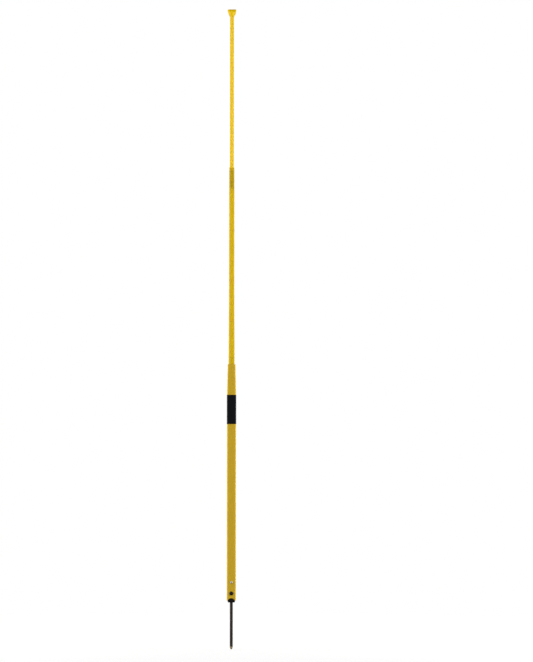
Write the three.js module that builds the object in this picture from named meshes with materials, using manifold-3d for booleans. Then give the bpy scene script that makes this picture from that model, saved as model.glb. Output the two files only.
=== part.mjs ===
// Telescoping slalom pole: three nested yellow plastic stages on a steel ground spike.
// Millimetres, +Z up, front towards -Y. The origin is at the middle of the spike plug's underside,
// the face that stops on the turf. The pole is drawn fully extended.
import * as THREE from 'three';
import { mergeVertices } from 'three/addons/utils/BufferGeometryUtils.js';
import Module from 'manifold-3d';

const wasm = await Module();
wasm.setup();

// Fits and facets
const seatGap = 0.3; // between pieces that rest on or in each other
const wedgeGap = 0.2; // per side, where a tapered foot jams in a tapered mouth
const cutOverrun = 1; // how far a cutter runs past the faces that it cuts
const cornerShare = 0.175; // corner radius of a square section, as a share of its width
const leastCornerShare = 0.2; // least inner corner, as a share of the outer one
const cornerSteps = 5;
const hiddenCornerSteps = 1; // for corners that end inside a rib
const edgeSteps = 2;
const roundSteps = 20;
const domeSteps = 5;
const taperSteps = 8;

// Outer tube
const outerLength = 620;
const outerAcross = 24; // across flats
const outerWall = 2.1;
const neckLength = 79; // tapered top end
const neckTaper = 3.5; // how much narrower the mouth is, across flats
const mouthChamfer = 0.45;
const archShoulder = 2.8; // wall left beside the arched notch, each side
const archHeight = 6.2;

// Label band
const labelLength = 76.6;
const labelDrop = 1.3; // below the start of the neck
const labelThickness = 0.25;
const labelGap = 0.15;

// Spike plug
const plugProud = 5; // below the outer tube
const plugEdge = 2.2; // rounding of the underside
const plugRoof = 5; // plastic above the rivet
const pocketWall = 1.5; // plastic round the cored pockets
const pocketFloor = 9; // plastic below the cored pockets

// Ground spike
const spikeDiameter = 8;
const spikeExposed = 123;
const spikeTipLength = 6;
const spikeTipDiameter = 4.4;
const spikeTipRound = 1;
const spikeChamfer = 0.8;
const spikeRoof = 6; // plastic between the spike's top and the rivet

// Cross bolt and its sleeve nut
const boltRise = 18.9; // above the outer tube's foot
const boltDiameter = 4;
const boltHeadDiameter = 10.5;
const boltHeadHeight = 2.4;
const boltSocket = 3.4; // across the corners of the hexagon
const boltSocketDepth = 1.4;
const hexagonSides = 6;
const boltEngagement = 5; // how far the bolt screws into the sleeve
const sleeveWall = 1.1;
const sleeveRoof = 1.4; // plastic between the sleeve and the spike

// Rivet and its washer
const rivetRise = 47.8; // above the outer tube's foot
const rivetDiameter = 3.2;
const rivetHeadDiameter = 6.5;
const rivetHeadHeight = 1.8;
const rivetHollow = 2.6; // hollow middle of the head
const rivetHollowDepth = 3;
const rivetTailDiameter = 5.4;
const rivetTailHeight = 1.4;
const rivetWasherDiameter = 9;
const rivetWasherThickness = 0.9;

// Middle tube
const midOverlap = 52; // left in the outer tube when extended
const midProud = 3; // above the outer tube's mouth when collapsed
const midWall = 1.1;
const midMouthWall = 1.15;
const midFlareLength = 220; // above the outer tube's mouth, where the tube still narrows
const midFlareDrop = 1.7;
const midTopLength = 75; // drawn-in top end
const midTopTaper = 0.8;

// Top rod
const rodClearance = 0.4; // per side, in the middle tube's mouth
const rodSpare = 119; // room left below the collapsed rod in the middle tube
const ribThickness = 1.8;
const ribEdge = 0.8; // rounding of a rib's outer edges
const blockInset = 0.45; // the blocks' faces below the ribs' corners
const notchPitch = 10.2;
const notchHeight = 2;
const notchDepth = 1.3;
const notchLift = 0.7; // of all the notches, towards the cap
const spigotDiameter = 6; // at both ends of the rod
const spigotRoot = 4; // inside the ribbed length
const capSpigotLength = 12;

// Wedge foot of the rod, with its washer and screw
const footDrop = 8; // top of the foot below the middle tube's mouth
const footLength = 47;
const footWasherMargin = 0.6; // between the washer and the foot's outline
const footWasherThickness = 0.9;
const footScrewDiameter = 2.6;
const footScrewLength = 16;
const footScrewTip = 3;
const footScrewHeadDiameter = 6;
const footScrewHeadHeight = 2.2;
const footScrewSlot = 0.9;
const footScrewSlotLength = 3.6;
const footScrewSlotDepth = 1.2;

// Top cap
const capHeight = 19.5;
const rimAcross = 22.8;
const rimHeight = 5.5;
const rimEdge = 1.2;
const rimStep = 0.7; // from the rim's side to the fins, under the rim
const rimCornerShare = 0.22;
const flareInset = 0.45; // the flare's faces below the fins' corners
const flareCorner = 1.5; // of the flare, under its fins
const flareBulgeShare = 0.16;
const finWidth = 2.4;

// Heights and fits that follow from those sizes
const outerFoot = plugProud;
const outerTop = outerFoot + outerLength;
const neckStart = outerTop - neckLength;
const outerBore = outerAcross - 2 * outerWall;
const archWidth = outerAcross - 2 * archShoulder;

const boltZ = outerFoot + boltRise;
const rivetZ = outerFoot + rivetRise;
const headSeat = outerAcross / 2 + seatGap; // from the axis to under a fastener's head
const plugAcross = outerBore - 2 * seatGap;
const plugTop = rivetZ + rivetDiameter / 2 + plugRoof;
const spikeTop = rivetZ - rivetDiameter / 2 - spikeRoof;
const sleeveDiameter = boltDiameter + 2 * (seatGap + sleeveWall);
const sleeveStart = spikeDiameter / 2 + seatGap + sleeveRoof;

const midLength = outerTop + midProud - plugTop - seatGap;
const midFoot = outerTop - midOverlap;
const midTop = midFoot + midLength;
const midFlareAcross = outerBore - neckTaper - 2 * wedgeGap;
const midAcross = midFlareAcross - midFlareDrop;
const midTopStart = midTop - midTopLength;
const midTopBore = midAcross - midTopTaper - 2 * midMouthWall;

const rodAcross = midTopBore - 2 * rodClearance;
const rodExposed = midLength - footDrop - footLength - rodSpare;
const capBottom = midTop + rodExposed;
const footTop = midTop - footDrop;
const footBottom = footTop - footLength;

// Shapes

const quarterTurns = [0, 1, 2, 3].map((quarter) => (quarter * Math.PI) / 2);

function squareOutline(across, corner, steps) {
  const reach = across / 2 - corner;
  const points = [];
  for (const start of quarterTurns) {
    const middle = new THREE.Vector2(reach, reach).rotateAround(new THREE.Vector2(), start);
    for (let step = 0; step <= steps; step += 1) {
      const angle = start + (step / steps) * (Math.PI / 2);
      points.push(new THREE.Vector2(Math.cos(angle), Math.sin(angle)).multiplyScalar(corner).add(middle));
    }
  }
  return points;
}

function squareRing(z, across, corner = across * cornerShare, steps = cornerSteps) {
  return squareOutline(across, corner, steps).map((point) => new THREE.Vector3(point.x, point.y, z));
}

// Skins rings of equal point count, each joined to the next. A closed loft returns to its first ring,
// as a tube's wall does, and an open one is capped at both ends.
function loft(rings, closed = false) {
  const count = rings[0].length;
  const bands = closed ? rings.length : rings.length - 1;
  const index = [];
  for (let band = 0; band < bands; band += 1) {
    const low = band * count;
    const high = ((band + 1) % rings.length) * count;
    for (let i = 0; i < count; i += 1) {
      const next = (i + 1) % count;
      index.push(low + i, low + next, high + next);
      index.push(low + i, high + next, high + i);
    }
  }
  if (!closed) {
    const last = (rings.length - 1) * count;
    for (let i = 1; i < count - 1; i += 1) {
      index.push(0, i + 1, i);
      index.push(last, last + i, last + i + 1);
    }
  }
  const geometry = new THREE.BufferGeometry();
  const positions = rings.flat().flatMap((point) => point.toArray());
  geometry.setAttribute('position', new THREE.Float32BufferAttribute(positions, 3));
  geometry.setIndex(index);
  return geometry;
}

// A square tube with a chamfered mouth. Stations run from foot to mouth, each with its height, its
// width across flats and its wall.
function squareTube(stations) {
  const outer = [];
  const inner = [];
  for (const { z, across, wall } of stations) {
    const corner = across * cornerShare;
    const innerCorner = Math.max(corner - wall, corner * leastCornerShare);
    outer.push(squareRing(z, across, corner));
    inner.unshift(squareRing(z, across - 2 * wall, innerCorner));
  }
  const { z, across, wall } = stations[stations.length - 1];
  const lip = z + mouthChamfer;
  outer.push(squareRing(lip, across - 2 * mouthChamfer));
  inner.unshift(squareRing(lip, across - 2 * wall + 2 * mouthChamfer));
  return loft([...outer, ...inner], true);
}

// Rings that round one end of a square bar: its top when side is 1, its bottom when side is -1.
function roundedEnd(z, across, edge, share, side) {
  const rings = [];
  for (let step = 0; step <= edgeSteps; step += 1) {
    const angle = (step / edgeSteps) * (Math.PI / 2);
    const width = across - 2 * edge * (1 - Math.cos(angle));
    rings.push(squareRing(z - side * edge * (1 - Math.sin(angle)), width, width * share));
  }
  return side > 0 ? rings : rings.reverse();
}

// A turned piece: radius and height pairs from the lower end of the axis to the upper one.
function turned(profile, sides = roundSteps) {
  const points = profile.map(([radius, z]) => new THREE.Vector2(radius, z));
  return new THREE.LatheGeometry(points, sides).rotateX(Math.PI / 2);
}

function cylinder(diameter, low, high, sides = roundSteps) {
  return turned([[0, low], [diameter / 2, low], [diameter / 2, high], [0, high]], sides);
}

function washer(diameter, bore, low, high) {
  const [outside, inside] = [diameter / 2, bore / 2];
  return turned([[inside, low], [outside, low], [outside, high], [inside, high], [inside, low]]);
}

// Profile of a dome on a flat base: upwards from rim to crown, or downwards from crown to rim.
function dome(diameter, base, height, upwards = true) {
  const points = [];
  for (let step = 0; step <= domeSteps; step += 1) {
    const angle = (step / domeSteps) * (Math.PI / 2);
    const radius = step < domeSteps ? (diameter / 2) * Math.cos(angle) : 0;
    const rise = height * Math.sin(angle);
    points.push([radius, upwards ? base + rise : base - rise]);
  }
  return upwards ? points : points.reverse();
}

// A turned piece that lies across the pole, its upper end to the front or to the rear.
function toFront(geometry, z) {
  return geometry.rotateX(Math.PI / 2).translate(0, 0, z);
}

function toRear(geometry, z) {
  return geometry.rotateX(-Math.PI / 2).translate(0, 0, z);
}

// The arch of the outer tube's foot as a slab along Y, for its notches and for the plug's keys.
function archSlab(width, height, low, near, far) {
  const outline = new THREE.Shape();
  outline.moveTo(width / 2, low);
  outline.lineTo(width / 2, outerFoot);
  outline.absellipse(0, outerFoot, width / 2, height, 0, Math.PI, false);
  outline.lineTo(-width / 2, low);
  const depth = far - near;
  const slab = new THREE.ExtrudeGeometry(outline, { depth, bevelEnabled: false });
  return slab.rotateX(Math.PI / 2).translate(0, far, 0);
}

function box(low, high) {
  const size = new THREE.Vector3().subVectors(high, low);
  const middle = new THREE.Vector3().addVectors(high, low).divideScalar(2);
  return new THREE.BoxGeometry(...size.toArray()).translate(...middle.toArray());
}

// Joins and cuts

function solidOf(geometry) {
  const bare = geometry.clone();
  bare.deleteAttribute('normal');
  bare.deleteAttribute('uv');
  const merged = mergeVertices(bare);
  const corners = merged.index.array;
  const triangles = [];
  for (let i = 0; i < corners.length; i += 3) {
    const [a, b, c] = corners.slice(i, i + 3);
    if (a !== b && b !== c && c !== a) triangles.push(a, b, c);
  }
  return new wasm.Manifold(new wasm.Mesh({
    numProp: 3,
    vertProperties: merged.attributes.position.array,
    triVerts: new Uint32Array(triangles),
  }));
}

function geometryOf(solid) {
  const mesh = solid.getMesh();
  const geometry = new THREE.BufferGeometry();
  geometry.setAttribute('position', new THREE.Float32BufferAttribute(mesh.vertProperties, mesh.numProp));
  geometry.setIndex([...mesh.triVerts]);
  return geometry;
}

function join(...geometries) {
  return geometryOf(geometries.map(solidOf).reduce((solid, other) => solid.add(other)));
}

function cut(geometry, ...cutters) {
  const solid = cutters.map(solidOf).reduce((rest, cutter) => rest.subtract(cutter), solidOf(geometry));
  return geometryOf(solid);
}

// Fits along the pole

function outerAcrossAt(z) {
  const along = THREE.MathUtils.clamp((z - neckStart) / neckLength, 0, 1);
  return outerAcross - neckTaper * along;
}

function midAcrossAt(z) {
  if (z <= outerTop) return outerAcrossAt(z) - 2 * outerWall - 2 * wedgeGap;
  const flare = THREE.MathUtils.smoothstep(z, outerTop, outerTop + midFlareLength);
  const top = THREE.MathUtils.clamp((z - midTopStart) / midTopLength, 0, 1);
  return midFlareAcross - midFlareDrop * flare - midTopTaper * top;
}

function midWallAt(z) {
  const top = THREE.MathUtils.clamp((z - midTopStart) / midTopLength, 0, 1);
  return THREE.MathUtils.lerp(midWall, midMouthWall, top);
}

function footAcrossAt(z) {
  return midAcrossAt(z) - 2 * midWallAt(z) - 2 * wedgeGap;
}

// Width of a square whose faces lie halfway between four ribs, inset from the ribs' corners.
function acrossBetween(ribsAcross, thickness, inset) {
  return (ribsAcross + thickness) / Math.SQRT2 - 2 * inset;
}

// Width of the cap over its fins, at a height above the cap's bottom.
function capAcrossAt(z) {
  const along = z / (capHeight - rimHeight);
  const bulge = flareBulgeShare * Math.sin(Math.PI * along);
  return THREE.MathUtils.lerp(rodAcross, rimAcross - 2 * rimStep, along + bulge);
}

// Finishes
const yellowPlastic = { color: 0xf2c60f, roughness: 0.32, metalness: 0 };
const blackPlastic = { color: 0x17181b, roughness: 0.45, metalness: 0 };
const labelFilm = { color: 0x1a1b1d, roughness: 0.4, metalness: 0 };
const blackSteel = { color: 0x1b1c1f, roughness: 0.4, metalness: 0.8 };
const brightSteel = { color: 0xa9aeb8, roughness: 0.3, metalness: 1 };
const spikeSteel = { color: 0x3b362e, roughness: 0.45, metalness: 0.9 };

function piece(name, geometry, finish) {
  const mesh = new THREE.Mesh(geometry, new THREE.MeshStandardMaterial(finish));
  mesh.name = name;
  return mesh;
}

// Lower stage: what stays in the ground

function outerTube() {
  const heights = [outerFoot, neckStart, outerTop - mouthChamfer];
  const stations = heights.map((z) => ({ z, across: outerAcrossAt(z), wall: outerWall }));
  const past = outerAcross / 2 + cutOverrun;
  const arch = archSlab(archWidth, archHeight, outerFoot - cutOverrun, -past, past);
  const boltBore = cylinder(boltDiameter + 2 * seatGap, 0, past);
  const sleeveBore = cylinder(sleeveDiameter + 2 * seatGap, 0, past);
  const rivetBore = cylinder(rivetDiameter + 2 * seatGap, -past, past);
  return cut(
    squareTube(stations),
    arch,
    toFront(boltBore, boltZ),
    toRear(sleeveBore, boltZ),
    toFront(rivetBore, rivetZ),
  );
}

function labelBand() {
  const high = neckStart - labelDrop;
  const low = high - labelLength;
  const outerCorner = outerAcross * cornerShare;
  const offsetRing = (z, offset) => squareRing(z, outerAcross + 2 * offset, outerCorner + offset);
  const outside = labelGap + labelThickness;
  return loft([
    offsetRing(low, outside),
    offsetRing(high, outside),
    offsetRing(high, labelGap),
    offsetRing(low, labelGap),
  ], true);
}

function spikePlug() {
  const half = outerAcross / 2;
  const block = loft([
    ...roundedEnd(0, plugAcross, plugEdge, cornerShare, -1),
    squareRing(plugTop, plugAcross),
  ]);
  const keys = archSlab(archWidth - 2 * seatGap, archHeight - seatGap, plugEdge, -half, half);
  const spikeBore = cylinder(spikeDiameter + 2 * seatGap, -cutOverrun, spikeTop + seatGap);
  const boltBore = cylinder(boltDiameter + 2 * seatGap, -half, half + cutOverrun);
  const sleeveBore = cylinder(sleeveDiameter + 2 * seatGap, sleeveStart - seatGap, half + cutOverrun);
  const rivetBore = cylinder(rivetDiameter + 2 * seatGap, -half - cutOverrun, half + cutOverrun);
  const inside = sleeveDiameter / 2 + seatGap + pocketWall;
  const outside = plugAcross / 2 - pocketWall;
  const pocket = box(
    new THREE.Vector3(inside, inside, pocketFloor),
    new THREE.Vector3(outside, outside, plugTop + cutOverrun),
  );
  const pockets = quarterTurns.map((turn) => pocket.clone().rotateZ(turn));
  return cut(
    join(block, keys),
    spikeBore,
    toFront(boltBore, boltZ),
    toRear(sleeveBore, boltZ),
    toFront(rivetBore, rivetZ),
    ...pockets,
  );
}

function groundSpike() {
  const radius = spikeDiameter / 2;
  const spike = turned([
    ...dome(spikeTipDiameter, spikeTipRound - spikeExposed, spikeTipRound, false),
    [radius, spikeTipLength - spikeExposed],
    [radius, spikeTop - spikeChamfer],
    [radius - spikeChamfer, spikeTop],
    [0, spikeTop],
  ]);
  const boltBore = cylinder(boltDiameter + 2 * seatGap, -radius - cutOverrun, radius + cutOverrun);
  return cut(spike, toFront(boltBore, boltZ));
}

function plugBolt() {
  const end = -(sleeveStart + boltEngagement);
  const bolt = turned([
    [0, end],
    [boltDiameter / 2, end],
    [boltDiameter / 2, headSeat],
    ...dome(boltHeadDiameter, headSeat, boltHeadHeight),
  ]);
  const crown = headSeat + boltHeadHeight;
  const socket = cylinder(boltSocket, crown - boltSocketDepth, crown + cutOverrun, hexagonSides);
  return toFront(cut(bolt, socket), boltZ);
}

function boltSleeveNut() {
  const nut = turned([
    [0, sleeveStart],
    [sleeveDiameter / 2, sleeveStart],
    [sleeveDiameter / 2, headSeat],
    ...dome(boltHeadDiameter, headSeat, boltHeadHeight),
  ]);
  const boreEnd = sleeveStart + boltEngagement + seatGap;
  const bore = cylinder(boltDiameter + 2 * seatGap, sleeveStart - cutOverrun, boreEnd);
  return toRear(cut(nut, bore), boltZ);
}

function plugRivet() {
  const tailSeat = -(headSeat + rivetWasherThickness + seatGap);
  const rivet = turned([
    ...dome(rivetTailDiameter, tailSeat, rivetTailHeight, false),
    [rivetDiameter / 2, tailSeat],
    [rivetDiameter / 2, headSeat],
    ...dome(rivetHeadDiameter, headSeat, rivetHeadHeight),
  ]);
  const crown = headSeat + rivetHeadHeight;
  const hollow = cylinder(rivetHollow, crown - rivetHollowDepth, crown + cutOverrun);
  return toFront(cut(rivet, hollow), rivetZ);
}

function rivetWasher() {
  const bore = rivetDiameter + 2 * seatGap;
  return toRear(washer(rivetWasherDiameter, bore, headSeat, headSeat + rivetWasherThickness), rivetZ);
}

const lowerStage = new THREE.Group();
lowerStage.add(
  piece('outer_tube', outerTube(), yellowPlastic),
  piece('label_band', labelBand(), labelFilm),
  piece('spike_plug', spikePlug(), blackPlastic),
  piece('ground_spike', groundSpike(), spikeSteel),
  piece('plug_bolt', plugBolt(), blackSteel),
  piece('bolt_sleeve_nut', boltSleeveNut(), blackSteel),
  piece('plug_rivet', plugRivet(), brightSteel),
  piece('rivet_washer', rivetWasher(), brightSteel),
);

// Middle stage: its group stands at the tube's foot

function midTube() {
  const heights = [midFoot];
  for (let step = 0; step <= taperSteps; step += 1) {
    heights.push(outerTop + (step / taperSteps) * midFlareLength);
  }
  heights.push(midTopStart, midTop - mouthChamfer);
  return squareTube(heights.map((z) => ({ z: z - midFoot, across: midAcrossAt(z), wall: midWallAt(z) })));
}

const midStage = new THREE.Group();
midStage.position.z = midFoot;
midStage.add(piece('mid_tube', midTube(), yellowPlastic));

// Top stage: its group stands where the rod's ribs meet the cap

function crossOutline() {
  const half = ribThickness / 2;
  const reach = rodAcross / 2;
  const arm = [new THREE.Vector2(half, -half)];
  for (const side of [-1, 1]) {
    for (let step = 0; step <= edgeSteps; step += 1) {
      const angle = (side < 0 ? -Math.PI / 2 : 0) + (step / edgeSteps) * (Math.PI / 2);
      const middle = new THREE.Vector2(reach - ribEdge, side * (half - ribEdge));
      arm.push(new THREE.Vector2(Math.cos(angle), Math.sin(angle)).multiplyScalar(ribEdge).add(middle));
    }
  }
  const axis = new THREE.Vector2();
  return quarterTurns.flatMap((turn) => arm.map((point) => point.clone().rotateAround(axis, turn)));
}

// A square bar between the ribs, with its four faces turned halfway between them.
function rodBar(low, high, across) {
  const ring = (z) => squareRing(z, across, across * cornerShare, hiddenCornerSteps);
  return loft([ring(low), ring(high)]).rotateZ(Math.PI / 4);
}

// Four running ribs on a square core, which blocks fill out except at the notches between them.
function topRod() {
  const ribbed = rodExposed + footDrop;
  const cross = new THREE.Shape(crossOutline());
  const ribs = new THREE.ExtrudeGeometry(cross, { depth: ribbed, bevelEnabled: false });
  const blockAcross = acrossBetween(rodAcross, ribThickness, blockInset);
  const core = rodBar(-ribbed, 0, blockAcross - 2 * notchDepth);
  const blocks = [];
  for (let top = notchLift; top - notchPitch > -ribbed; top -= notchPitch) {
    blocks.push(rodBar(top - notchPitch + notchHeight, Math.min(top, 0), blockAcross));
  }
  const spigotEnd = -ribbed - footLength;
  const footSpigot = cylinder(spigotDiameter, spigotEnd, spigotRoot - ribbed);
  const capSpigot = cylinder(spigotDiameter, -spigotRoot, capSpigotLength);
  const pilotBore = cylinder(
    footScrewDiameter + 2 * seatGap,
    spigotEnd - cutOverrun,
    spigotEnd + footScrewLength,
  );
  return cut(join(ribs.translate(0, 0, -ribbed), core, ...blocks, footSpigot, capSpigot), pilotBore);
}

function rodFoot() {
  const ring = (z) => squareRing(z - capBottom, footAcrossAt(z));
  const bush = loft([ring(footBottom), ring(footTop - seatGap)]);
  const [low, high] = [footBottom - capBottom, footTop - capBottom];
  return cut(bush, cylinder(spigotDiameter + 2 * seatGap, low - cutOverrun, high + cutOverrun));
}

function footWasher() {
  const high = footBottom - capBottom - seatGap;
  const diameter = footAcrossAt(footBottom) - 2 * footWasherMargin;
  return washer(diameter, footScrewDiameter + 2 * seatGap, high - footWasherThickness, high);
}

function footScrew() {
  const seat = footBottom - capBottom - 2 * seatGap - footWasherThickness;
  const end = seat + footScrewLength;
  const screw = turned([
    ...dome(footScrewHeadDiameter, seat, footScrewHeadHeight, false),
    [footScrewDiameter / 2, seat],
    [footScrewDiameter / 2, end - footScrewTip],
    [0, end],
  ]);
  const low = seat - footScrewHeadHeight - cutOverrun;
  const high = seat - footScrewHeadHeight + footScrewSlotDepth;
  const [halfLength, halfWidth] = [footScrewSlotLength / 2, footScrewSlot / 2];
  const slotX = box(
    new THREE.Vector3(-halfLength, -halfWidth, low),
    new THREE.Vector3(halfLength, halfWidth, high),
  );
  const slotY = slotX.clone().rotateZ(Math.PI / 2);
  return cut(screw, slotX, slotY);
}

function topCap() {
  const flareTop = capHeight - rimHeight;
  const steps = Array.from({ length: taperSteps + 1 }, (_, step) => (step / taperSteps) * flareTop);
  const core = loft([...steps, flareTop + rimEdge].map((z) => {
    const across = acrossBetween(capAcrossAt(Math.min(z, flareTop)), finWidth, flareInset);
    return squareRing(z, across, flareCorner, hiddenCornerSteps);
  })).rotateZ(Math.PI / 4);
  const rim = loft([
    ...roundedEnd(flareTop, rimAcross, rimEdge, rimCornerShare, -1),
    ...roundedEnd(capHeight, rimAcross, rimEdge, rimCornerShare, 1),
  ]);
  const side = steps.map((z) => new THREE.Vector2(capAcrossAt(z) / 2, z));
  side.push(new THREE.Vector2(capAcrossAt(flareTop) / 2, flareTop + rimEdge));
  const otherSide = side.map((point) => new THREE.Vector2(-point.x, point.y)).reverse();
  const outline = new THREE.Shape([...side, ...otherSide]);
  const fins = new THREE.ExtrudeGeometry(outline, { depth: finWidth, bevelEnabled: false });
  fins.translate(0, 0, -finWidth / 2).rotateX(Math.PI / 2);
  const otherFins = fins.clone().rotateZ(Math.PI / 2);
  const socket = cylinder(spigotDiameter + 2 * seatGap, -cutOverrun, capSpigotLength + seatGap);
  return cut(join(core, rim, fins, otherFins), socket);
}

const topStage = new THREE.Group();
topStage.position.z = capBottom - midFoot;
const cap = piece('top_cap', topCap(), yellowPlastic);
cap.position.z = seatGap;
topStage.add(
  piece('top_rod', topRod(), yellowPlastic),
  piece('rod_foot', rodFoot(), blackPlastic),
  piece('foot_washer', footWasher(), brightSteel),
  piece('foot_screw', footScrew(), brightSteel),
  cap,
);
midStage.add(topStage);

const pole = new THREE.Group();
pole.add(lowerStage, midStage);

export default pole;
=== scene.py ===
import math

import bpy
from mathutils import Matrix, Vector


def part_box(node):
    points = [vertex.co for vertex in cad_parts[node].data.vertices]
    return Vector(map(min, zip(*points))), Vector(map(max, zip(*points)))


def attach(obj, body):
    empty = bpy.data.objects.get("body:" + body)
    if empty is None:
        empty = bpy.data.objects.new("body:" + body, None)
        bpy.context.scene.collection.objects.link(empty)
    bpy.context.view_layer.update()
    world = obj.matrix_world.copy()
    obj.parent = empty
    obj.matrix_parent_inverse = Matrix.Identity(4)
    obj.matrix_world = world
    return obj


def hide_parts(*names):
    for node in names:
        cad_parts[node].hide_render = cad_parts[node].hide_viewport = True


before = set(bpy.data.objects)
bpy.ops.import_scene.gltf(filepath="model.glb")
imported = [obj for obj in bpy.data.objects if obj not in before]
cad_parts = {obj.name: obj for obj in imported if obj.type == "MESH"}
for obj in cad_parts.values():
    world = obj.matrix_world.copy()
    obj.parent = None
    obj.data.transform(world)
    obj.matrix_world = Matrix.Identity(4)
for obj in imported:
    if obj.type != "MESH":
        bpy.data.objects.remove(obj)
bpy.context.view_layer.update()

# The pole is dressed in its rest pose, fully extended. Sizes here are in millimetres, and meshes are
# scaled to metres when they are made. +Z is up and the front is towards -Y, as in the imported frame.
MM = 0.001

# Sections
CORNER_SHARE = 0.175  # corner radius of a square section, as a share of its width
INNER_CORNER = 1.2  # least corner radius inside a tube
CORNER_STEPS = 10
ROUND_STEPS = 64
ARC_STEPS = 12
ARCH_STEPS = 48
TAPER_STEPS = 32
CROWN_RADIUS = 0.04  # of the tiny flat on a dome
SHARP_ANGLE = math.radians(32)
LIP_EDGE = 0.38  # rounding of the tubes' ends

# Outer tube
OUTER_WALL = 2.1
NECK_LENGTH = 79
NECK_TAPER = 3.5  # how much narrower the mouth is
ARCH_WIDTH = 18.4
ARCH_HEIGHT = 6.2
ARCH_TURN = math.radians(30)  # of each facet that rounds the arch's outer edge

# Label band
LABEL_THICKNESS = 0.25
LABEL_GAP = 0.15  # between the tube's corners and the label's
LABEL_EDGE = 0.1
LAP_WIDTH = 7
LAP_THICKNESS = 0.12
LAP_EDGE = 0.04

# Spike plug
PLUG_EDGE = 2.2  # rounding of its underside
PLUG_SOFT_EDGE = 0.3  # rounding of its top and its keys
KEY_GAP = 0.3  # between a key and its arch

# Ground spike
SPIKE_TIP_LENGTH = 6
SPIKE_TIP_RADIUS = 2.2
SPIKE_TIP_ROUND = 1
SPIKE_CHAMFER = 0.8
SPIKE_SHOULDER = 0.2  # how much slimmer the spike is where its tip starts

# Fasteners
BOLT_DIAMETER = 4
SLEEVE_DIAMETER = 6.8
SOCKET_ACROSS = 3.4
SOCKET_DEPTH = 1.4
SOCKET_SIDES = 6
HEAD_RIM = 0.5  # height of the upright rim below a head's dome
HEAD_EDGE = 0.15
RIVET_SHANK = 3.2
RIVET_TAIL = 5.4
RIVET_RIM = 0.3
RIVET_HOLLOW = 2.6
RIVET_HOLLOW_DEPTH = 3
RIVET_EDGE = 0.1
WASHER_EDGE = 0.15
BORE_GAP = 0.3  # between a bore and its shank
BORE_LEAD = 0.5  # share of a step that a bore's points are turned on

# Middle tube
MID_WALL = 1.1
MID_MOUTH_WALL = 1.15
MID_FLARE_LENGTH = 220  # above the outer tube's mouth
MID_FLARE_DROP = 1.7  # how much the tube narrows over that length
MID_TOP_LENGTH = 75
MID_TOP_TAPER = 0.8  # how much narrower the drawn-in mouth is

# Top rod
RIB_THICKNESS = 1.8
RIB_EDGE = 0.8
RIB_STEPS = 5
BLOCK_INSET = 0.45  # of the faces, from the ribs' corners
BLOCK_EDGE = 0.35
NOTCH_PITCH = 10.2
NOTCH_HEIGHT = 2
NOTCH_DEPTH = 1.3
NOTCH_LIFT = 0.7  # how far the top block would run on past the cap's foot
NOTCH_DRAFT = 0.1  # how far a notch's sides lean out over its depth
ROD_FOOT_DROP = 8  # from the middle tube's mouth down to where the ribs end
SPIGOT_DIAMETER = 6

# Top cap
RIM_HEIGHT = 5.5
RIM_EDGE = 1.2
RIM_STEP = 0.7  # how far the rim stands out past the fins
RIM_CORNER_SHARE = 0.22
FLARE_BULGE_SHARE = 0.16
FIN_WIDTH = 2.4
FIN_EDGE = 0.4
FLARE_INSET = 0.45

# The yellow plastic: shares of the light that pass through the outer tube's wall, through the middle
# tube's thin wall and through the slim rod with its cap, and how much blue their yellows have
THICK_SHARE = 0.08
THIN_SHARE = 0.46
SLIM_SHARE = 0.24
TUBE_BLUE = 0.044
ROD_BLUE = 0.01

# Colours, in linear light. The first three lack their blue here, which each yellow plastic adds.
DEEP_YELLOW = (0.875, 0.568)
PALE_YELLOW = (0.905, 0.593)
PASSED_YELLOW = (0.95, 0.98)
GLOSS_YELLOW = (1, 0.75, 0.15, 1)
SCRATCHED_YELLOW = (0.95, 0.7, 0.07)
MOULDED_BLACK = (0.005, 0.0045, 0.0045)
DUSTY_BLACK = (0.02, 0.018, 0.015)
FILM_BLACK = (0.003, 0.0035, 0.0045)
RUBBED_FILM = (0.012, 0.0125, 0.014)
OILED_STEEL = (0.023, 0.0185, 0.014)
RUBBED_STEEL = (0.044, 0.038, 0.031)
BARE_STEEL = (0.6, 0.5, 0.3)
TIP_SOIL = (0.2, 0.12, 0.045)
BLACK_COAT = (0.008, 0.007, 0.01)
RUBBED_COAT = (0.05, 0.047, 0.045)
# Painted glint: light brown for the bolt's recess
PAINTED_SOCKET_GLINT = (0.12, 0.085, 0.04)
DULL_ZINC = (0.4, 0.39, 0.38)
BRIGHT_ZINC = (0.62, 0.58, 0.5)
# Painted reflection and painted shade: dark blue for the rivet's hollow
PAINTED_REFLECTION_BLUE = (0.15, 0.16, 0.32)
WHITE = (1, 1, 1, 1)

# Heights above the spike's tip between which its soil and its bare steel give way, and how far noise
# moves the edge of the bare steel
SOIL_WHOLE = 2
SOIL_GONE = 3.5
BARE_WHOLE = 0.5
BARE_GONE = 5.5
BARE_RAGGED = 6

PAINTED_SPOT_FADE = 1.2  # share of a recess's radius at which its painted spot of light or shade ends

# The photograph: its frame in pixels, its scale, and the column and row of the extended pole's axis
# and of its outer tube's foot
PHOTO_WIDTH = 533
PHOTO_HEIGHT = 662
MM_PER_PIXEL = 2.624
AXIS_PIXEL = 231.65
FOOT_PIXEL = 600.5

# Camera
CAMERA_DISTANCE = 16000
CAMERA_ROLL = -0.07  # degrees
SENSOR = 36

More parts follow.
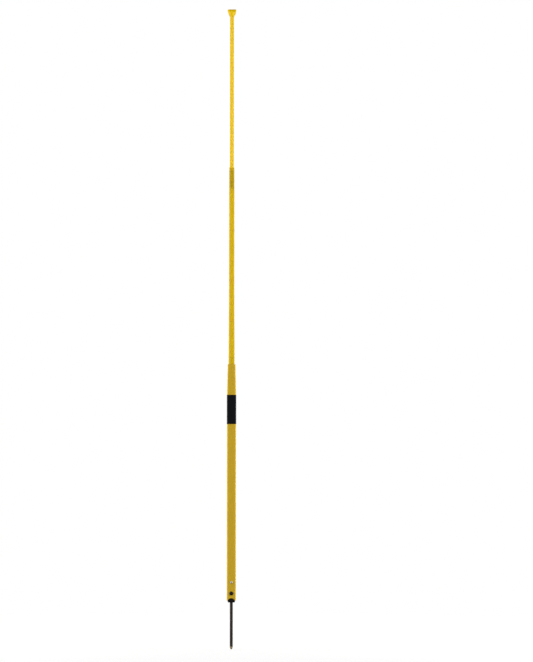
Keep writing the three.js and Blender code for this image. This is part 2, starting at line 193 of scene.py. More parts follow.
# Studio, with azimuths in degrees and powers in watts
SIDE_AZIMUTH = 84
SIDE_POWER = 75
SIDE_WIDTH = 2500
BACK_AZIMUTH = 180
BACK_POWER = 60
BACK_WIDTH = 4000
LIGHT_DISTANCE = 2600
LIGHT_MIDDLE = 1200  # height of a light's middle
LIGHT_HEIGHT = 2600  # how tall a light is
AMBIENT = 0.3  # strength of the world's light
FLOOR_SIZE = 6000
FLOOR_GAP = 0.4  # below the spike's tip
FLOOR_COLOUR = (0.45, 0.45, 0.45, 1)
FLOOR_LIFT = 0.56  # strength of what the floor gives off, to the camera alone
FLOOR_SHOWN = 900  # radius from the pole within which the floor is whole
FLOOR_FADED = 2200  # radius at which it has faded into the backdrop


# Boxes of the CAD nodes

def box_mm(node):
    """Lowest and highest corner of a CAD node, in millimetres."""
    low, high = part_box(node)
    return low / MM, high / MM


def heights_mm(node):
    low, high = box_mm(node)
    return low.z, high.z


def middle_height(node):
    low, high = heights_mm(node)
    return (low + high) / 2


def across_mm(node):
    low, high = box_mm(node)
    return high.x - low.x


def recess_bottom(node, depth):
    """Middle of the bottom of the recess in a head at the front, in millimetres."""
    low, _ = box_mm(node)
    return Vector((0, low.y + depth, middle_height(node)))


TUBE_FACE = across_mm("outer_tube") / 2  # how far the outer tube's faces are from its axis
SPIKE_TIP, _ = heights_mm("ground_spike")  # height of the spike's tip


# Skins

def square_ring(z, across, corner):
    """Points of a rounded square at one height, in the order that a loft skins outwards."""
    reach = across / 2 - corner
    points = []
    for quarter in range(4):
        start = quarter * math.pi / 2
        middle_x = reach * (math.cos(start) - math.sin(start))
        middle_y = reach * (math.cos(start) + math.sin(start))
        for step in range(CORNER_STEPS + 1):
            angle = start + step / CORNER_STEPS * math.pi / 2
            points.append((middle_x + corner * math.cos(angle), middle_y + corner * math.sin(angle), z))
    return points


def loft(rings, closed=False):
    """Points and faces of a skin over rings of equal point count. A closed loft returns to its first
    ring, as a tube's wall does, and an open one is capped at both ends."""
    count = len(rings[0])
    bands = len(rings) if closed else len(rings) - 1
    faces = []
    for band in range(bands):
        low = band * count
        high = (band + 1) % len(rings) * count
        for i in range(count):
            after = (i + 1) % count
            faces.append((low + i, low + after, high + after, high + i))
    if not closed:
        faces.append(tuple(reversed(range(count))))
        last = (len(rings) - 1) * count
        faces.append(tuple(range(last, last + count)))
    return [point for ring in rings for point in ring], faces


def square_tube(stations):
    """Skin of a square tube. Each station has its height, its width across flats and its wall."""
    outer = []
    inner = []
    for z, across, wall in stations:
        corner = across * CORNER_SHARE
        outer.append(square_ring(z, across, corner))
        inner.insert(0, square_ring(z, across - 2 * wall, max(corner - wall, INNER_CORNER)))
    return loft(outer + inner, closed=True)


def turned(profile, closed=False, lead=0):
    """Skin of a turned piece round the Z axis. The profile has radius and height pairs, with no
    point on the axis. Lead turns its points on by a share of a step."""
    rings = []
    for radius, z in profile:
        ring = []
        for step in range(ROUND_STEPS):
            angle = (step + lead) / ROUND_STEPS * 2 * math.pi
            ring.append((radius * math.cos(angle), radius * math.sin(angle), z))
        rings.append(ring)
    return loft(rings, closed)


def dome(radius, base, height):
    """Profile of a dome from its rim up to a tiny flat at its crown."""
    points = []
    for step in range(ARC_STEPS + 1):
        angle = step / ARC_STEPS * math.pi / 2
        points.append((max(radius * math.cos(angle), CROWN_RADIUS), base + height * math.sin(angle)))
    return points


def slab(outline, near, far):
    """Skin of an outline in X and Z that is drawn along Y from near to far."""
    return loft([[(x, y, z) for x, z in outline] for y in (far, near)])


def arch(width, height, low, foot):
    """Outline of the arch at the tube's foot, from low up to its crown."""
    points = [(-width / 2, low), (width / 2, low)]
    for step in range(ARCH_STEPS + 1):
        angle = step / ARCH_STEPS * math.pi
        points.append((width / 2 * math.cos(angle), foot + height * math.sin(angle)))
    return points


def prism(sides, across, low, high):
    """Skin of a regular prism round the Z axis. Its width is over its corners."""
    rings = []
    for z in (low, high):
        ring = []
        for side in range(sides):
            angle = side / sides * 2 * math.pi
            ring.append((across / 2 * math.cos(angle), across / 2 * math.sin(angle), z))
        rings.append(ring)
    return loft(rings)


# Pieces

def mesh_object(name, skin, lay=None):
    """An object from a skin in millimetres. Lay turns a skin that was made round Z."""
    points, faces = skin
    if lay:
        points = [lay(*point) for point in points]
    mesh = bpy.data.meshes.new(name)
    mesh.from_pydata([Vector(point) * MM for point in points], [], faces)
    mesh.update()
    made = bpy.data.objects.new(name, mesh)
    bpy.context.scene.collection.objects.link(made)
    return made


def to_front(z):
    """Lay that turns what was on top to the front, at a height."""
    return lambda x, y, up: (x, -up, z + y)


def to_rear(z):
    """Lay that turns what was on top to the rear, at a height."""
    return lambda x, y, up: (-x, up, z + y)


def combined(obj, tool, operation):
    """Joins or cuts an object with a tool object, which is then removed."""
    modifier = obj.modifiers.new(operation.lower(), "BOOLEAN")
    modifier.operation = operation
    modifier.solver = "EXACT"
    modifier.object = tool
    depsgraph = bpy.context.evaluated_depsgraph_get()
    mesh = bpy.data.meshes.new_from_object(obj.evaluated_get(depsgraph))
    obj.modifiers.clear()
    obj.data = mesh
    bpy.data.objects.remove(tool)


def round_edges(obj, edge, segments=3):
    """Rounds the edges that an object has so far. A cut that comes later leaves its own edges sharp."""
    bevel = obj.modifiers.new("edges", "BEVEL")
    bevel.width = edge * MM
    bevel.segments = segments
    bevel.limit_method = "ANGLE"
    bevel.angle_limit = SHARP_ANGLE
    bevel.use_clamp_overlap = True


def smooth(obj, edge=0.0, segments=3):
    """Shades an object smooth but for its edges, which are rounded if edge has a width."""
    obj.data.shade_smooth()
    obj.data.set_sharp_from_angle(angle=SHARP_ANGLE)
    if edge:
        round_edges(obj, edge, segments)
    normals = obj.modifiers.new("normals", "WEIGHTED_NORMAL")
    normals.keep_sharp = not edge


def dress(obj, body, node, material):
    """Puts a piece in place of its CAD node."""
    obj.data.materials.clear()
    obj.data.materials.append(material)
    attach(obj, body)
    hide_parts(node)


# Material nodes

class Surface:
    """A material with its Principled shader, and the procedural nodes that feed it. Noise runs over
    the piece's own coordinates, and its scale counts features per metre."""

    def __init__(self, name, **values):
        self.material = bpy.data.materials.new(name)
        self.material.use_nodes = True
        self.tree = self.material.node_tree
        self.shader = self.tree.nodes["Principled BSDF"]
        self.place = self.tree.nodes.new("ShaderNodeTexCoord").outputs["Object"]
        self.normal = None
        for socket, value in values.items():
            self.shader.inputs[socket.replace("_", " ")].default_value = value

    def link(self, output, socket):
        self.tree.links.new(output, socket)

    def noise(self, scale, along=1.0, detail=2.0, roughness=0.5):
        """Noise whose scale along the pole is a share of its scale across it."""
        mapping = self.tree.nodes.new("ShaderNodeMapping")
        mapping.inputs["Scale"].default_value = (1, 1, along)
        texture = self.tree.nodes.new("ShaderNodeTexNoise")
        texture.inputs["Scale"].default_value = scale
        texture.inputs["Detail"].default_value = detail
        texture.inputs["Roughness"].default_value = roughness
        self.link(self.place, mapping.inputs["Vector"])
        self.link(mapping.outputs["Vector"], texture.inputs["Vector"])
        return texture.outputs["Fac"]

    def height(self):
        """The piece's own Z, in metres."""
        split = self.tree.nodes.new("ShaderNodeSeparateXYZ")
        self.link(self.place, split.inputs["Vector"])
        return split.outputs["Z"]

    def painted_spot(self, point, radius):
        """A painted spot of light or shade: a share that is 1 within a radius of a point of the piece,
        and 0 a little further out.
        """
        node = self.tree.nodes.new("ShaderNodeVectorMath")
        node.operation = "DISTANCE"
        node.inputs[1].default_value = point * MM
        self.link(self.place, node.inputs[0])
        return self.ranged(node.outputs["Value"], PAINTED_SPOT_FADE * radius * MM, radius * MM)

    def ranged(self, value, low=0.0, high=1.0, to_low=0.0, to_high=1.0):
        """A value that runs from to_low to to_high as another runs from low to high."""
        node = self.tree.nodes.new("ShaderNodeMapRange")
        ends = {"From Min": low, "From Max": high, "To Min": to_low, "To Max": to_high}
        for socket, number in ends.items():
            node.inputs[socket].default_value = number
        self.link(value, node.inputs["Value"])
        return node.outputs["Result"]

    def arithmetic(self, operation, first, second):
        node = self.tree.nodes.new("ShaderNodeMath")
        node.operation = operation
        self.link(first, node.inputs[0])
        self.link(second, node.inputs[1])
        return node.outputs["Value"]

    def mixed(self, share, first, second):
        """A colour between two others, each a colour or another node's output."""
        node = self.tree.nodes.new("ShaderNodeMix")
        node.data_type = "RGBA"
        self.link(share, node.inputs["Factor"])
        sockets = [socket for socket in node.inputs if socket.type == "RGBA"]
        for socket, colour in zip(sockets, (first, second)):
            if isinstance(colour, tuple):
                socket.default_value = (*colour, 1)
            else:
                self.link(colour, socket)
        return next(output for output in node.outputs if output.type == "RGBA")

    def colour(self, output):
        self.link(output, self.shader.inputs["Base Color"])

    def metallic(self, output):
        self.link(output, self.shader.inputs["Metallic"])

    def roughness(self, output):
        self.link(output, self.shader.inputs["Roughness"])

    def bump(self, height, depth):
        """Adds relief, with its depth in millimetres."""
        node = self.tree.nodes.new("ShaderNodeBump")
        node.inputs["Strength"].default_value = 1
        node.inputs["Distance"].default_value = depth * MM
        self.link(height, node.inputs["Height"])
        if self.normal:
            self.link(self.normal, node.inputs["Normal"])
        self.normal = node.outputs["Normal"]
        self.link(self.normal, self.shader.inputs["Normal"])

    def pass_light(self, share, colour):
        """Lets a share of the light through the surface, in a colour of its own."""
        through = self.tree.nodes.new("ShaderNodeBsdfTranslucent")
        through.inputs["Color"].default_value = colour
        blend = self.tree.nodes.new("ShaderNodeMixShader")
        blend.inputs["Fac"].default_value = share
        self.link(self.shader.outputs["BSDF"], blend.inputs[1])
        self.link(through.outputs["BSDF"], blend.inputs[2])
        self.link(blend.outputs["Shader"], self.tree.nodes["Material Output"].inputs["Surface"])


# Materials

def yellow_plastic(name, passed, blue):
    """Satin moulded plastic with faint draw lines along the pole, mould grain and fine handling
    scratches. Passed is the share of light that goes through."""
    surface = Surface(name, IOR=1.49, Specular_IOR_Level=0.1, Specular_Tint=GLOSS_YELLOW)
    cloud = surface.ranged(surface.noise(scale=7, detail=3), low=0.35, high=0.65)
    base = surface.mixed(cloud, (*DEEP_YELLOW, blue), (*PALE_YELLOW, blue))
    lines = surface.noise(scale=900, along=0.035, detail=4, roughness=0.7)
    scratch = surface.ranged(lines, low=0.62, high=0.74)
    surface.colour(surface.mixed(scratch, base, SCRATCHED_YELLOW))
    handled = surface.noise(scale=70, along=0.4, detail=4)
    matt = surface.ranged(handled, low=0.3, high=0.7, to_low=0.3, to_high=0.4)
    surface.roughness(surface.arithmetic("ADD", matt, surface.ranged(scratch, to_high=0.15)))
    surface.bump(surface.noise(scale=320, along=0.02), depth=0.05)
    surface.bump(surface.noise(scale=2600), depth=0.012)
    surface.bump(scratch, depth=-0.01)
    surface.pass_light(passed, (*PASSED_YELLOW, blue, 1))
    return surface.material


def black_plastic():
    """Moulded black plastic with a fine matt grain, dusty in patches."""
    surface = Surface("black_plastic", Specular_IOR_Level=0.1)
    patches = surface.noise(scale=160, detail=5, roughness=0.65)
    dusty = surface.ranged(patches, low=0.48, high=0.75)
    surface.colour(surface.mixed(dusty, MOULDED_BLACK, DUSTY_BLACK))
    surface.roughness(surface.ranged(dusty, to_low=0.42, to_high=0.6))
    surface.bump(surface.noise(scale=3200, detail=3), depth=0.03)
    return surface.material


def label_film():
    """Plain black satin film with a few fine creases and rubbed spots."""
    surface = Surface("label_film", Specular_IOR_Level=0.07)
    spots = surface.noise(scale=240, along=0.5, detail=5, roughness=0.7)
    rubbed = surface.ranged(spots, low=0.6, high=0.78)
    surface.colour(surface.mixed(rubbed, FILM_BLACK, RUBBED_FILM))
    surface.roughness(surface.ranged(rubbed, to_low=0.34, to_high=0.5))
    surface.bump(surface.noise(scale=90, along=0.5, detail=3), depth=0.06)
    surface.bump(surface.noise(scale=4000), depth=0.008)
    return surface.material


def spike_steel():
    """Dark oiled steel rod with faint drawing lines and rubbed spots. Its end is worn bare, with soil
    on the tip."""
    surface = Surface("spike_steel", Specular_IOR_Level=0.2)
    rub = surface.noise(scale=420, along=0.6, detail=6, roughness=0.75)
    oiled = surface.mixed(surface.ranged(rub, low=0.45, high=0.75), OILED_STEEL, RUBBED_STEEL)
    height = surface.height()
    ragged = surface.ranged(surface.noise(scale=700, detail=3), to_high=BARE_RAGGED * MM)
    above = surface.arithmetic("SUBTRACT", height, ragged)
    bare = surface.ranged(above, low=(SPIKE_TIP + BARE_GONE) * MM, high=(SPIKE_TIP + BARE_WHOLE) * MM)
    soil = surface.ranged(height, low=(SPIKE_TIP + SOIL_GONE) * MM, high=(SPIKE_TIP + SOIL_WHOLE) * MM)
    surface.colour(surface.mixed(soil, surface.mixed(bare, oiled, BARE_STEEL), TIP_SOIL))
    surface.metallic(surface.ranged(bare, to_low=0.35))
    surface.roughness(surface.ranged(rub, low=0.3, high=0.7, to_low=0.34, to_high=0.46))
    surface.bump(surface.noise(scale=1500, along=0.03), depth=0.02)
    surface.bump(surface.noise(scale=900, detail=4), depth=0.02)
    return surface.material


def black_steel(name, painted_glint_point=None):
    """Black coated steel, rubbed to grey in spots. A bolt has a painted light brown glint round the
    point painted_glint_point, which is the bottom of its recess."""
    surface = Surface(name, Metallic=0.1, Specular_IOR_Level=0.12)
    spots = surface.noise(scale=900, detail=5, roughness=0.7)
    rubbed = surface.ranged(spots, low=0.58, high=0.74)
    coat = surface.mixed(rubbed, BLACK_COAT, RUBBED_COAT)
    if painted_glint_point is not None:
        # Painted glint: light brown in the bolt's recess
        coat = surface.mixed(surface.painted_spot(painted_glint_point, SOCKET_ACROSS / 2), coat, PAINTED_SOCKET_GLINT)
    surface.colour(coat)
    surface.roughness(surface.ranged(rubbed, to_low=0.38, to_high=0.5))
    surface.bump(surface.noise(scale=2600), depth=0.015)
    return surface.material


def bright_steel(name, painted_reflection_point=None):
    """Zinc-plated steel with a cloudy sheen. A rivet has a painted dark blue reflection and painted
    shade round the point painted_reflection_point, which is the bottom of its hollow."""
    surface = Surface(name, Metallic=1.0)
    cloud = surface.noise(scale=600, detail=4)
    plating = surface.mixed(surface.ranged(cloud, low=0.3, high=0.7), DULL_ZINC, BRIGHT_ZINC)
    if painted_reflection_point is not None:
        # Painted dark blue reflection and painted shade in the rivet's hollow
        plating = surface.mixed(surface.painted_spot(painted_reflection_point, RIVET_HOLLOW / 2), plating, PAINTED_REFLECTION_BLUE)
    surface.colour(plating)
    surface.roughness(surface.ranged(cloud, low=0.3, high=0.7, to_low=0.28, to_high=0.42))
    surface.bump(surface.noise(scale=2200, detail=3), depth=0.012)
    return surface.material


# Lower stage

def bore(obj, shank, lay, near, far):
    """Bores an object with clearance for a shank. The bore's points are turned on, so that no two
    bores that cross share one."""
    radius = shank / 2 + BORE_GAP
    hole = turned([(radius, near), (radius, far)], lead=BORE_LEAD)
    combined(obj, mesh_object("hole", hole, lay), "DIFFERENCE")


def cross_bore(obj):
    """Bores an object for the bolt, its sleeve nut and the rivet, where they cross it."""
    past = across_mm("outer_tube")
    bolt_z = middle_height("plug_bolt")
    _, bolt_end = box_mm("plug_bolt")
    sleeve_start, _ = box_mm("bolt_sleeve_nut")
    bore(obj, BOLT_DIAMETER, to_front(bolt_z), -bolt_end.y - BORE_GAP, past)
    bore(obj, SLEEVE_DIAMETER, to_rear(bolt_z), sleeve_start.y - BORE_GAP, past)
    bore(obj, RIVET_SHANK, to_front(middle_height("plug_rivet")), -past, past)


def foot_notch(low):
    """Cutter for the arches at the tube's foot. It flares in two facets towards the tube's faces, which
    rounds the arches' outer edges. The second facet ends past the face."""
    run = LIP_EDGE / (math.cos(ARCH_TURN) + math.cos(2 * ARCH_TURN))
    y = TUBE_FACE - LIP_EDGE
    grown = 0
    sections = [(y, grown)]
    for turn, length in ((ARCH_TURN, run), (2 * ARCH_TURN, 2 * run)):
        y += length * math.cos(turn)
        grown += length * math.sin(turn)
        sections.append((y, grown))
    rings = []
    for side, order in ((1, reversed(sections)), (-1, sections)):
        for y, grown in order:
            outline = arch(ARCH_WIDTH + 2 * grown, ARCH_HEIGHT + grown, low - ARCH_HEIGHT, low)
            rings.append([(x, side * y, z) for x, z in outline])
    return mesh_object("notch", loft(rings))


def outer_tube():
    """A square tube with a tapered neck, arches at its foot and bores for what crosses it."""
    low, high = heights_mm("outer_tube")
    across = across_mm("outer_tube")
    shell = mesh_object("outer_tube_shell", square_tube([
        (low, across, OUTER_WALL),
        (high - NECK_LENGTH, across, OUTER_WALL),
        (high, across - NECK_TAPER, OUTER_WALL),
    ]))
    round_edges(shell, LIP_EDGE)
    combined(shell, foot_notch(low), "DIFFERENCE")
    cross_bore(shell)
    smooth(shell)
    return shell


def label_band():
    """A thin wrap round the outer tube, a little off its corners."""
    low, high = heights_mm("label_band")
    across = across_mm("label_band")
    inner = across - 2 * LABEL_THICKNESS
    corner = across_mm("outer_tube") * CORNER_SHARE + LABEL_GAP
    band = mesh_object("label_wrap", loft([
        square_ring(low, across, corner + LABEL_THICKNESS),
        square_ring(high, across, corner + LABEL_THICKNESS),
        square_ring(high, inner, corner),
        square_ring(low, inner, corner),
    ], closed=True))
    smooth(band, LABEL_EDGE, segments=2)
    return band


def label_lap():
    """The strip at the rear where the wrap's end laps over its start."""
    low, high = heights_mm("label_band")
    face = across_mm("label_band") / 2
    outline = [(0, low), (LAP_WIDTH, low), (LAP_WIDTH, high), (0, high)]
    strip = mesh_object("label_lap", slab(outline, face, face + LAP_THICKNESS))
    smooth(strip, LAP_EDGE, segments=1)
    return strip


def spike_plug():
    """A body with a rounded underside, whose keys fill the outer tube's arches."""
    low, high = heights_mm("spike_plug")
    foot, _ = heights_mm("outer_tube")
    across = across_mm("spike_plug")
    rings = []
    for step in range(ARC_STEPS + 1):
        angle = step / ARC_STEPS * math.pi / 2
        width = across - 2 * PLUG_EDGE * (1 - math.sin(angle))
        rings.append(square_ring(low + PLUG_EDGE * (1 - math.cos(angle)), width, width * CORNER_SHARE))
    rings.append(square_ring(high, across, across * CORNER_SHARE))
    plug = mesh_object("spike_plug_body", loft(rings))
    round_edges(plug, PLUG_SOFT_EDGE)
    outline = arch(ARCH_WIDTH - 2 * KEY_GAP, ARCH_HEIGHT - KEY_GAP, low + PLUG_EDGE, foot)
    keys = mesh_object("keys", slab(outline, -TUBE_FACE, TUBE_FACE))
    round_edges(keys, PLUG_SOFT_EDGE)
    combined(plug, keys, "UNION")
    spike_low, spike_high = heights_mm("ground_spike")
    bore(plug, across_mm("ground_spike"), None, spike_low, spike_high + BORE_GAP)
    cross_bore(plug)
    smooth(plug)
    return plug


def ground_spike():
    """A round spike with a short tapered tip and a blunt, rounded end."""
    low, high = heights_mm("ground_spike")
    radius = across_mm("ground_spike") / 2
    tip = [(r, low + SPIKE_TIP_ROUND - z) for r, z in dome(SPIKE_TIP_RADIUS, 0, SPIKE_TIP_ROUND)]
    spike = mesh_object("ground_spike_rod", turned([
        *reversed(tip),
        (radius - SPIKE_SHOULDER, low + SPIKE_TIP_LENGTH - SPIKE_CHAMFER),
        (radius, low + SPIKE_TIP_LENGTH + SPIKE_CHAMFER),
        (radius, high - SPIKE_CHAMFER),
        (radius - SPIKE_CHAMFER, high),
    ]))
    cross_bore(spike)
    smooth(spike)
    return spike


def domed(shank, radius, start, end):
    """Skin of a domed head on its shank, seated on the outer tube's face."""
    profile = [(shank / 2, start), (shank / 2, TUBE_FACE), (radius, TUBE_FACE)]
    rim = TUBE_FACE + HEAD_RIM
    profile.extend(dome(radius, rim, end - rim))
    return turned(profile)


def plug_bolt():
    """A bolt with a hexagon recess in its domed head."""
    low, high = box_mm("plug_bolt")
    lay = to_front(middle_height("plug_bolt"))
    skin = domed(BOLT_DIAMETER, across_mm("plug_bolt") / 2, -high.y, -low.y)
    bolt = mesh_object("plug_bolt_body", skin, lay)
    hexagon = prism(SOCKET_SIDES, SOCKET_ACROSS, -low.y - SOCKET_DEPTH, -low.y + SOCKET_DEPTH)
    combined(bolt, mesh_object("socket", hexagon, lay), "DIFFERENCE")
    smooth(bolt, HEAD_EDGE, segments=2)
    return bolt


def sleeve_nut():
    """A nut with a domed head, whose sleeve holds the bolt's end."""
    low, high = box_mm("bolt_sleeve_nut")
    lay = to_rear(middle_height("bolt_sleeve_nut"))
    skin = domed(SLEEVE_DIAMETER, across_mm("bolt_sleeve_nut") / 2, low.y, high.y)
    nut = mesh_object("sleeve_nut_body", skin, lay)
    _, bolt_end = box_mm("plug_bolt")
    bore(nut, BOLT_DIAMETER, lay, low.y - BORE_GAP, bolt_end.y + BORE_GAP)
    smooth(nut, HEAD_EDGE, segments=2)
    return nut


def plug_rivet():
    """A rivet with a hollow domed head at the front and a smaller, peened one on the rear washer."""
    low, high = box_mm("plug_rivet")
    _, washer = box_mm("rivet_washer")
    radius = across_mm("plug_rivet") / 2
    shank = RIVET_SHANK / 2
    tail = [(r, -z) for r, z in dome(RIVET_TAIL / 2, washer.y, high.y - washer.y)]
    profile = [*reversed(tail), (shank, -washer.y), (shank, TUBE_FACE), (radius, TUBE_FACE)]
    rim = TUBE_FACE + RIVET_RIM
    rise = -low.y - rim
    hollow = RIVET_HOLLOW / 2
    profile.extend((r, z) for r, z in dome(radius, rim, rise) if r > hollow)
    profile.append((hollow, rim + rise * math.sqrt(1 - (hollow / radius) ** 2)))
    profile.append((hollow, -low.y - RIVET_HOLLOW_DEPTH))
    rivet = mesh_object("plug_rivet_body", turned(profile), to_front(middle_height("plug_rivet")))
    smooth(rivet, RIVET_EDGE, segments=2)
    return rivet


def rivet_washer():
    _, high = box_mm("rivet_washer")
    radius = across_mm("rivet_washer") / 2
    inner = RIVET_SHANK / 2 + BORE_GAP
    profile = [(inner, TUBE_FACE), (radius, TUBE_FACE), (radius, high.y), (inner, high.y)]
    lay = to_rear(middle_height("rivet_washer"))
    washer = mesh_object("rivet_washer_ring", turned(profile, closed=True), lay)
    smooth(washer, WASHER_EDGE, segments=2)
    return washer


# Middle stage

def smoothstep(share):
    return share * share * (3 - 2 * share)


def mid_tube():
    """The flare at the foot fills the outer tube's tapered neck. Above it the tube narrows to its
    straight length, and the top end is drawn in."""
    low, high = heights_mm("mid_tube")
    foot_across = across_mm("mid_tube")
    _, mouth = heights_mm("outer_tube")
    taper = NECK_TAPER / NECK_LENGTH
    flared = foot_across - taper * (mouth - low)
    top_start = high - MID_TOP_LENGTH
    stations = [(low, foot_across, MID_WALL)]
    for step in range(TAPER_STEPS + 1):
        share = step / TAPER_STEPS
        across = flared - MID_FLARE_DROP * smoothstep(share)
        stations.append((mouth + share * MID_FLARE_LENGTH, across, MID_WALL))
    stations.append((top_start, flared - MID_FLARE_DROP, MID_WALL))
    stations.append((high, flared - MID_FLARE_DROP - MID_TOP_TAPER, MID_MOUTH_WALL))
    tube = mesh_object("mid_tube_shell", square_tube(stations))
    smooth(tube, LIP_EDGE)
    return tube


# Top stage

def ribbed_ring(z, reach, thickness, edge, inset):
    """Section of four ribs with flat faces between them, halfway turned and inset from the ribs'
    corners. Reach is how far the ribs stand out from the axis."""
    half = thickness / 2
    root = reach - math.sqrt(2) * inset
    arm = [(root, -half)]
    for side, first in ((-1, -math.pi / 2), (1, 0)):
        for step in range(RIB_STEPS + 1):
            angle = first + step / RIB_STEPS * math.pi / 2
            x = reach - edge + edge * math.cos(angle)
            arm.append((x, side * (half - edge) + edge * math.sin(angle)))
    arm.append((root, half))
    points = []
    for quarter in range(4):
        turn = quarter * math.pi / 2
        cos, sin = math.cos(turn), math.sin(turn)
        points.extend((x * cos - y * sin, x * sin + y * cos, z) for x, y in arm)
    return points


def top_rod():
    """Four running ribs on a square core, which blocks fill out except at the notches."""
    low, high = heights_mm("top_rod")
    reach = across_mm("top_rod") / 2
    top, _ = heights_mm("top_cap")
    _, mouth = heights_mm("mid_tube")
    bottom = mouth - ROD_FOOT_DROP

    def ring(z, depth):
        return ribbed_ring(z, reach, RIB_THICKNESS, RIB_EDGE, BLOCK_INSET + depth)

    rings = []
    block_top = top + NOTCH_LIFT
    while block_top - NOTCH_PITCH > bottom:
        high_end = min(block_top, top - NOTCH_DRAFT)
        low_end = block_top - NOTCH_PITCH + NOTCH_HEIGHT
        rings.extend(ring(z, depth) for z, depth in (
            (high_end + NOTCH_DRAFT, NOTCH_DEPTH),
            (high_end, BLOCK_EDGE),
            (high_end - BLOCK_EDGE, 0),
            (low_end + BLOCK_EDGE, 0),
            (low_end, BLOCK_EDGE),
            (low_end - NOTCH_DRAFT, NOTCH_DEPTH),
        ))
        block_top -= NOTCH_PITCH
    rings.append(ring(bottom, NOTCH_DEPTH))
    rod = mesh_object("top_rod_body", loft(rings[::-1]))
    for end_low, end_high in ((low, bottom + BLOCK_EDGE), (top - BLOCK_EDGE, high)):
        spigot = turned([(SPIGOT_DIAMETER / 2, end_low), (SPIGOT_DIAMETER / 2, end_high)])
        combined(rod, mesh_object("spigot", spigot), "UNION")
    smooth(rod)
    return rod


def top_cap():
    """A flared head. The rod's ribs run on up the flare as fins, and end under a square rim."""
    low, high = heights_mm("top_cap")
    rim = across_mm("top_cap")
    neck = across_mm("top_rod")
    flare_top = high - RIM_HEIGHT

    def ring(z, reach):
        return ribbed_ring(z, reach, FIN_WIDTH, FIN_EDGE, FLARE_INSET)

    rings = []
    for step in range(TAPER_STEPS + 1):
        along = step / TAPER_STEPS
        share = along + FLARE_BULGE_SHARE * math.sin(math.pi * along)
        fin = (neck + (rim - 2 * RIM_STEP - neck) * share) / 2
        rings.append(ring(low + (flare_top - low) * along, fin))
    rings.append(ring(flare_top + RIM_EDGE, rim / 2 - RIM_STEP))
    cap = mesh_object("top_cap_head", loft(rings))
    edges = []
    for end, side in ((flare_top, -1), (high, 1)):
        steps = range(ARC_STEPS + 1) if side > 0 else range(ARC_STEPS, -1, -1)
        for step in steps:
            angle = step / ARC_STEPS * math.pi / 2
            width = rim - 2 * RIM_EDGE * (1 - math.cos(angle))
            z = end - side * RIM_EDGE * (1 - math.sin(angle))
            edges.append(square_ring(z, width, width * RIM_CORNER_SHARE))
    combined(cap, mesh_object("rim", loft(edges)), "UNION")
    _, spigot_high = heights_mm("top_rod")
    bore(cap, SPIGOT_DIAMETER, None, low - BORE_GAP, spigot_high + BORE_GAP)
    smooth(cap)
    return cap


# The pole

yellow = yellow_plastic("yellow_plastic", THICK_SHARE, TUBE_BLUE)
thin_yellow = yellow_plastic("thin_yellow_plastic", THIN_SHARE, TUBE_BLUE)
slim_yellow = yellow_plastic("slim_yellow_plastic", SLIM_SHARE, ROD_BLUE)
black = black_plastic()
film = label_film()
dark_steel = black_steel("black_steel")
zinc = bright_steel("bright_steel")

dress(outer_tube(), "lower_stage", "outer_tube", yellow)
dress(label_band(), "lower_stage", "label_band", film)
lap = label_lap()
lap.data.materials.append(film)
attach(lap, "lower_stage")
dress(spike_plug(), "lower_stage", "spike_plug", black)
dress(ground_spike(), "lower_stage", "ground_spike", spike_steel())
# The bolt's recess has a painted glint
bolt_steel = black_steel("glint_painted_bolt_steel", recess_bottom("plug_bolt", SOCKET_DEPTH))
dress(plug_bolt(), "lower_stage", "plug_bolt", bolt_steel)
dress(sleeve_nut(), "lower_stage", "bolt_sleeve_nut", dark_steel)
# The rivet's hollow has a painted dark blue reflection and painted shade
rivet_steel = bright_steel("reflection_painted_rivet_steel", recess_bottom("plug_rivet", RIVET_HOLLOW_DEPTH))
dress(plug_rivet(), "lower_stage", "plug_rivet", rivet_steel)
dress(rivet_washer(), "lower_stage", "rivet_washer", zinc)
dress(mid_tube(), "middle_stage", "mid_tube", thin_yellow)
dress(top_rod(), "top_stage", "top_rod", slim_yellow)
dress(top_cap(), "top_stage", "top_cap", slim_yellow)

# The rod's foot stays as the CAD has it, inside the middle tube
for node, material in (("rod_foot", black), ("foot_washer", zinc), ("foot_screw", zinc)):
    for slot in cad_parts[node].material_slots:
        slot.material = material


# Studio

def white_shown(tree, ambient):
    """A strength that is 1 where the camera, gloss or glass looks, and ambient for the light given."""
    path = tree.nodes.new("ShaderNodeLightPath")
    seen = path.outputs["Is Camera Ray"]
    for name in ("Is Glossy Ray", "Is Transmission Ray"):
        either = tree.nodes.new("ShaderNodeMath")
        either.operation = "MAXIMUM"
        tree.links.new(seen, either.inputs[0])
        tree.links.new(path.outputs[name], either.inputs[1])
        seen = either.outputs["Value"]
    spread = tree.nodes.new("ShaderNodeMapRange")
    spread.inputs["To Min"].default_value = ambient
    spread.inputs["To Max"].default_value = 1
    tree.links.new(seen, spread.inputs["Value"])
    return spread.outputs["Result"]


def studio_world():
    world = bpy.data.worlds.new("studio")
    world.use_nodes = True
    background = world.node_tree.nodes["Background"]
    background.inputs["Color"].default_value = WHITE
    world.node_tree.links.new(white_shown(world.node_tree, AMBIENT), background.inputs["Strength"])
    bpy.context.scene.world = world


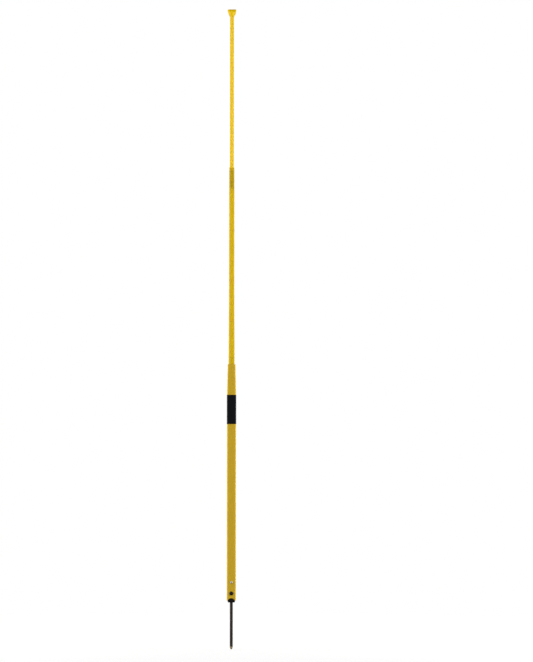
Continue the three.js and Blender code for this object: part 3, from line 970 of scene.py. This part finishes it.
def fade(tree, shader):
    """Lets the floor's shader give way to the backdrop with the distance from the pole."""
    place = tree.nodes.new("ShaderNodeTexCoord")
    distance = tree.nodes.new("ShaderNodeVectorMath")
    distance.operation = "LENGTH"
    share = tree.nodes.new("ShaderNodeMapRange")
    share.interpolation_type = "SMOOTHSTEP"
    share.inputs["From Min"].default_value = FLOOR_SHOWN * MM
    share.inputs["From Max"].default_value = FLOOR_FADED * MM
    clear = tree.nodes.new("ShaderNodeBsdfTransparent")
    mix = tree.nodes.new("ShaderNodeMixShader")
    tree.links.new(place.outputs["Object"], distance.inputs[0])
    tree.links.new(distance.outputs["Value"], share.inputs["Value"])
    tree.links.new(share.outputs["Result"], mix.inputs["Fac"])
    tree.links.new(shader.outputs["BSDF"], mix.inputs[1])
    tree.links.new(clear.outputs["BSDF"], mix.inputs[2])
    tree.links.new(mix.outputs["Shader"], tree.nodes["Material Output"].inputs["Surface"])


def floor():
    """A pale floor under the spike's tip. What it gives off lifts it to white and leaves a shadow."""
    half = FLOOR_SIZE / 2
    z = SPIKE_TIP - FLOOR_GAP
    corners = [(-half, -half, z), (half, -half, z), (half, half, z), (-half, half, z)]
    made = mesh_object("floor", (corners, [(0, 1, 2, 3)]))
    material = bpy.data.materials.new("floor_paper")
    material.use_nodes = True
    tree = material.node_tree
    shader = tree.nodes["Principled BSDF"]
    shader.inputs["Base Color"].default_value = FLOOR_COLOUR
    shader.inputs["Roughness"].default_value = 1
    shader.inputs["Specular IOR Level"].default_value = 0
    shader.inputs["Emission Color"].default_value = WHITE
    path = tree.nodes.new("ShaderNodeLightPath")
    lift = tree.nodes.new("ShaderNodeMath")
    lift.operation = "MULTIPLY"
    lift.inputs[1].default_value = FLOOR_LIFT
    tree.links.new(path.outputs["Is Camera Ray"], lift.inputs[0])
    tree.links.new(lift.outputs["Value"], shader.inputs["Emission Strength"])
    fade(tree, shader)
    made.data.materials.append(material)


def soft_light(name, azimuth, power, width):
    """A tall soft light round the pole, turned to it. Azimuth 0 is the front and 90 is +X."""
    data = bpy.data.lights.new(name, "AREA")
    data.shape = "RECTANGLE"
    data.size = width * MM
    data.size_y = LIGHT_HEIGHT * MM
    data.energy = power
    made = bpy.data.objects.new(name, data)
    turn = math.radians(azimuth)
    made.location = Vector((math.sin(turn), -math.cos(turn), 0)) * LIGHT_DISTANCE * MM
    made.location.z = LIGHT_MIDDLE * MM
    aim = Vector((0, 0, LIGHT_MIDDLE * MM)) - made.location
    made.rotation_euler = aim.to_track_quat("-Z", "Y").to_euler()
    made.visible_camera = False
    bpy.context.scene.collection.objects.link(made)


def camera():
    """Level and far away, so that the pole stands in the frame as the photograph's left one does."""
    data = bpy.data.cameras.new("camera")
    data.sensor_width = SENSOR
    data.lens = SENSOR * CAMERA_DISTANCE / (PHOTO_HEIGHT * MM_PER_PIXEL)
    made = bpy.data.objects.new("camera", data)
    foot, _ = heights_mm("outer_tube")
    x = (PHOTO_WIDTH / 2 - AXIS_PIXEL) * MM_PER_PIXEL
    z = foot + (FOOT_PIXEL - PHOTO_HEIGHT / 2) * MM_PER_PIXEL
    made.location = Vector((x, -CAMERA_DISTANCE, z)) * MM
    made.rotation_euler = (math.pi / 2, math.radians(CAMERA_ROLL), 0)
    bpy.context.scene.collection.objects.link(made)
    bpy.context.scene.camera = made


studio_world()
floor()
soft_light("left_light", -SIDE_AZIMUTH, SIDE_POWER, SIDE_WIDTH)
soft_light("right_light", SIDE_AZIMUTH, SIDE_POWER, SIDE_WIDTH)
soft_light("back_light", BACK_AZIMUTH, BACK_POWER, BACK_WIDTH)
camera()
bpy.context.scene.view_settings.view_transform = "Standard"
